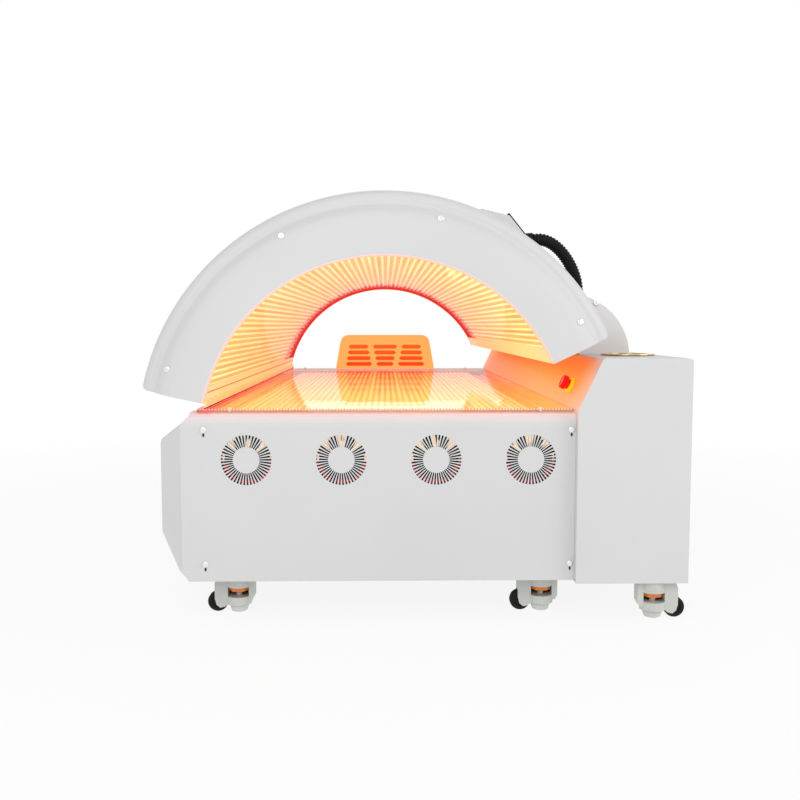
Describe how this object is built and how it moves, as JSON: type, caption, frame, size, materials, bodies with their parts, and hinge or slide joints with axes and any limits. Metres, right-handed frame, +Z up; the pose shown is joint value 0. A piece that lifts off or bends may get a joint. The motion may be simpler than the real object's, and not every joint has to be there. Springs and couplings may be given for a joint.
{
  "type": "red light therapy bed",
  "caption": "Lamp bed with a clear lying surface, an arched hinged lamp canopy, a side cabinet with cup holder and emergency stop, slotted fan grilles and levelling casters.",
  "frame": {"origin": "on the floor under the middle of the overall box", "axes": "+X towards the cabinet side, +Y from the open foot end to the end with the head vent, +Z up"},
  "size_m": [1.3843, 2.25, 1.0873],
  "materials": {
    "white_shell": "satin white powder coat",
    "white_moulding": "satin white moulded plastic",
    "frame_steel": "plain sheet steel",
    "clear_sheet": "clear acrylic, polished",
    "lamp_board": "lit lamp rows, orange to red",
    "orange_vent": "moulded, lit orange by the lamps",
    "polished_steel": "polished stainless steel",
    "stop_red": "glossy red",
    "stop_yellow": "glossy yellow",
    "black_plastic": "satin black",
    "caster_grey": "pale grey-green nylon",
    "thumb_orange": "matte orange nylon",
    "tyre_black": "matte black"
  },
  "bodies": {
    "base": {"chassis": "frame_steel", "base_side_shell": "white_shell", "near_end_panel": "white_shell", "far_end_panel": "white_shell", "bed_spine": "frame_steel", "bed_lamp_tray": "lamp_board", "bed_acrylic": "clear_sheet", "head_vent": "orange_vent", "fan_carrier": "frame_steel", "cabinet_shell": "white_shell", "cabinet_near_panel": "white_shell", "cabinet_far_panel": "white_shell", "holder_cup": "polished_steel", "estop_collar": "stop_yellow", "hinge_housing_near": "white_shell", "hinge_housing_far": "white_shell", "power_supply": "frame_steel", "power_inlet": "black_plastic", "cable_hose": "black_plastic"},
    "canopy": {"canopy_shell": "white_moulding", "canopy_cap_near": "white_moulding", "canopy_cap_far": "white_moulding", "canopy_lamp_tray": "lamp_board", "canopy_acrylic": "clear_sheet", "canopy_rail_left": "white_moulding", "canopy_rail_right": "white_moulding", "hinge_arm_near": "frame_steel", "hinge_arm_far": "frame_steel", "hose_entry_box": "white_moulding", "hose_plate": "black_plastic"},
    "estop_button": {"estop_button": "stop_red"},
    "fan_1": {"fan_rotor_1": "black_plastic"},
    "fan_2": {"fan_rotor_2": "black_plastic"},
    "fan_3": {"fan_rotor_3": "black_plastic"},
    "fan_4": {"fan_rotor_4": "black_plastic"},
    "caster_1_swivel": {"caster_1_housing": "caster_grey"},
    "caster_1_wheel": {"caster_1_wheel": "tyre_black"},
    "caster_1_foot": {"caster_1_foot": "caster_grey"},
    "caster_1_thumbwheel": {"caster_1_thumbwheel": "thumb_orange"},
    "caster_2_swivel": {"caster_2_housing": "caster_grey"},
    "caster_2_wheel": {"caster_2_wheel": "tyre_black"},
    "caster_2_foot": {"caster_2_foot": "caster_grey"},
    "caster_2_thumbwheel": {"caster_2_thumbwheel": "thumb_orange"},
    "caster_3_swivel": {"caster_3_housing": "caster_grey"},
    "caster_3_wheel": {"caster_3_wheel": "tyre_black"},
    "caster_3_foot": {"caster_3_foot": "caster_grey"},
    "caster_3_thumbwheel": {"caster_3_thumbwheel": "thumb_orange"},
    "caster_4_swivel": {"caster_4_housing": "caster_grey"},
    "caster_4_wheel": {"caster_4_wheel": "tyre_black"},
    "caster_4_foot": {"caster_4_foot": "caster_grey"},
    "caster_4_thumbwheel": {"caster_4_thumbwheel": "thumb_orange"},
    "caster_5_swivel": {"caster_5_housing": "caster_grey"},
    "caster_5_wheel": {"caster_5_wheel": "tyre_black"},
    "caster_5_foot": {"caster_5_foot": "caster_grey"},
    "caster_5_thumbwheel": {"caster_5_thumbwheel": "thumb_orange"},
    "caster_6_swivel": {"caster_6_housing": "caster_grey"},
    "caster_6_wheel": {"caster_6_wheel": "tyre_black"},
    "caster_6_foot": {"caster_6_foot": "caster_grey"},
    "caster_6_thumbwheel": {"caster_6_thumbwheel": "thumb_orange"}
  },
  "joints": [
    {"name": "canopy_hinge", "type": "hinge", "parent": "base", "child": "canopy", "pos_m": [0.43956, 0, 0.72964], "axis": [0, 1, 0], "range_deg": [0, 45], "deforming": ["cable_hose"]},
    {"name": "estop_push", "type": "slide", "parent": "base", "child": "estop_button", "axis": [0.9052, 0, -0.425], "range_m": [0, 0.005], "stiffness_N_per_m": 400, "springref_m": -0.004},
    {"name": "fan_1_spin", "type": "hinge", "parent": "base", "child": "fan_1", "pos_m": [-0.42671, -1.081, 0.411], "axis": [0, 1, 0], "continuous": true},
    {"name": "fan_2_spin", "type": "hinge", "parent": "base", "child": "fan_2", "pos_m": [-0.18721, -1.081, 0.411], "axis": [0, 1, 0], "continuous": true},
    {"name": "fan_3_spin", "type": "hinge", "parent": "base", "child": "fan_3", "pos_m": [0.05229, -1.081, 0.411], "axis": [0, 1, 0], "continuous": true},
    {"name": "fan_4_spin", "type": "hinge", "parent": "base", "child": "fan_4", "pos_m": [0.29179, -1.081, 0.411], "axis": [0, 1, 0], "continuous": true},
    {"name": "caster_1_turn", "type": "hinge", "parent": "base", "child": "caster_1_swivel", "pos_m": [-0.46166, -1.0175, 0], "axis": [0, 0, 1], "continuous": true},
    {"name": "caster_1_roll", "type": "hinge", "parent": "caster_1_swivel", "child": "caster_1_wheel", "pos_m": [-0.51666, -1.0175, 0.0265], "axis": [0, 1, 0], "continuous": true},
    {"name": "caster_1_level", "type": "slide", "parent": "caster_1_swivel", "child": "caster_1_foot", "axis": [0, 0, -1], "range_m": [0, 0.012]},
    {"name": "caster_1_nut", "type": "hinge", "parent": "caster_1_foot", "child": "caster_1_thumbwheel", "pos_m": [-0.46166, -1.0175, 0.06], "axis": [0, 0, 1], "range_deg": [0, 2160]},
    {"name": "caster_2_turn", "type": "hinge", "parent": "base", "child": "caster_2_swivel", "pos_m": [0.33344, -1.0175, 0], "axis": [0, 0, 1], "continuous": true},
    {"name": "caster_2_roll", "type": "hinge", "parent": "caster_2_swivel", "child": "caster_2_wheel", "pos_m": [0.27844, -1.0175, 0.0265], "axis": [0, 1, 0], "continuous": true},
    {"name": "caster_2_level", "type": "slide", "parent": "caster_2_swivel", "child": "caster_2_foot", "axis": [0, 0, -1], "range_m": [0, 0.012]},
    {"name": "caster_2_nut", "type": "hinge", "parent": "caster_2_foot", "child": "caster_2_thumbwheel", "pos_m": [0.33344, -1.0175, 0.06], "axis": [0, 0, 1], "range_deg": [0, 2160]},
    {"name": "caster_3_turn", "type": "hinge", "parent": "base", "child": "caster_3_swivel", "pos_m": [0.61184, -1.085, 0], "axis": [0, 0, 1], "continuous": true},
    {"name": "caster_3_roll", "type": "hinge", "parent": "caster_3_swivel", "child": "caster_3_wheel", "pos_m": [0.66684, -1.085, 0.0265], "axis": [0, 1, 0], "continuous": true},
    {"name": "caster_3_level", "type": "slide", "parent": "caster_3_swivel", "child": "caster_3_foot", "axis": [0, 0, -1], "range_m": [0, 0.012]},
    {"name": "caster_3_nut", "type": "hinge", "parent": "caster_3_foot", "child": "caster_3_thumbwheel", "pos_m": [0.61184, -1.085, 0.06], "axis": [0, 0, 1], "range_deg": [0, 2160]},
    {"name": "caster_4_turn", "type": "hinge", "parent": "base", "child": "caster_4_swivel", "pos_m": [-0.46166, 1.0175, 0], "axis": [0, 0, 1], "continuous": true},
    {"name": "caster_4_roll", "type": "hinge", "parent": "caster_4_swivel", "child": "caster_4_wheel", "pos_m": [-0.51666, 1.0175, 0.0265], "axis": [0, 1, 0], "continuous": true},
    {"name": "caster_4_level", "type": "slide", "parent": "caster_4_swivel", "child": "caster_4_foot", "axis": [0, 0, -1], "range_m": [0, 0.012]},
    {"name": "caster_4_nut", "type": "hinge", "parent": "caster_4_foot", "child": "caster_4_thumbwheel", "pos_m": [-0.46166, 1.0175, 0.06], "axis": [0, 0, 1], "range_deg": [0, 2160]},
    {"name": "caster_5_turn", "type": "hinge", "parent": "base", "child": "caster_5_swivel", "pos_m": [0.33344, 1.0175, 0], "axis": [0, 0, 1], "continuous": true},
    {"name": "caster_5_roll", "type": "hinge", "parent": "caster_5_swivel", "child": "caster_5_wheel", "pos_m": [0.27844, 1.0175, 0.0265], "axis": [0, 1, 0], "continuous": true},
    {"name": "caster_5_level", "type": "slide", "parent": "caster_5_swivel", "child": "caster_5_foot", "axis": [0, 0, -1], "range_m": [0, 0.012]},
    {"name": "caster_5_nut", "type": "hinge", "parent": "caster_5_foot", "child": "caster_5_thumbwheel", "pos_m": [0.33344, 1.0175, 0.06], "axis": [0, 0, 1], "range_deg": [0, 2160]},
    {"name": "caster_6_turn", "type": "hinge", "parent": "base", "child": "caster_6_swivel", "pos_m": [0.61184, 1.085, 0], "axis": [0, 0, 1], "continuous": true},
    {"name": "caster_6_roll", "type": "hinge", "parent": "caster_6_swivel", "child": "caster_6_wheel", "pos_m": [0.66684, 1.085, 0.0265], "axis": [0, 1, 0], "continuous": true},
    {"name": "caster_6_level", "type": "slide", "parent": "caster_6_swivel", "child": "caster_6_foot", "axis": [0, 0, -1], "range_m": [0, 0.012]},
    {"name": "caster_6_nut", "type": "hinge", "parent": "caster_6_foot", "child": "caster_6_thumbwheel", "pos_m": [0.61184, 1.085, 0.06], "axis": [0, 0, 1], "range_deg": [0, 2160]}
  ],
  "couplings": [
    {"joint": "caster_1_level", "follows": "caster_1_nut", "m_per_rad": 0.000318},
    {"joint": "caster_2_level", "follows": "caster_2_nut", "m_per_rad": 0.000318},
    {"joint": "caster_3_level", "follows": "caster_3_nut", "m_per_rad": 0.000318},
    {"joint": "caster_4_level", "follows": "caster_4_nut", "m_per_rad": 0.000318},
    {"joint": "caster_5_level", "follows": "caster_5_nut", "m_per_rad": 0.000318},
    {"joint": "caster_6_level", "follows": "caster_6_nut", "m_per_rad": 0.000318}
  ]
}
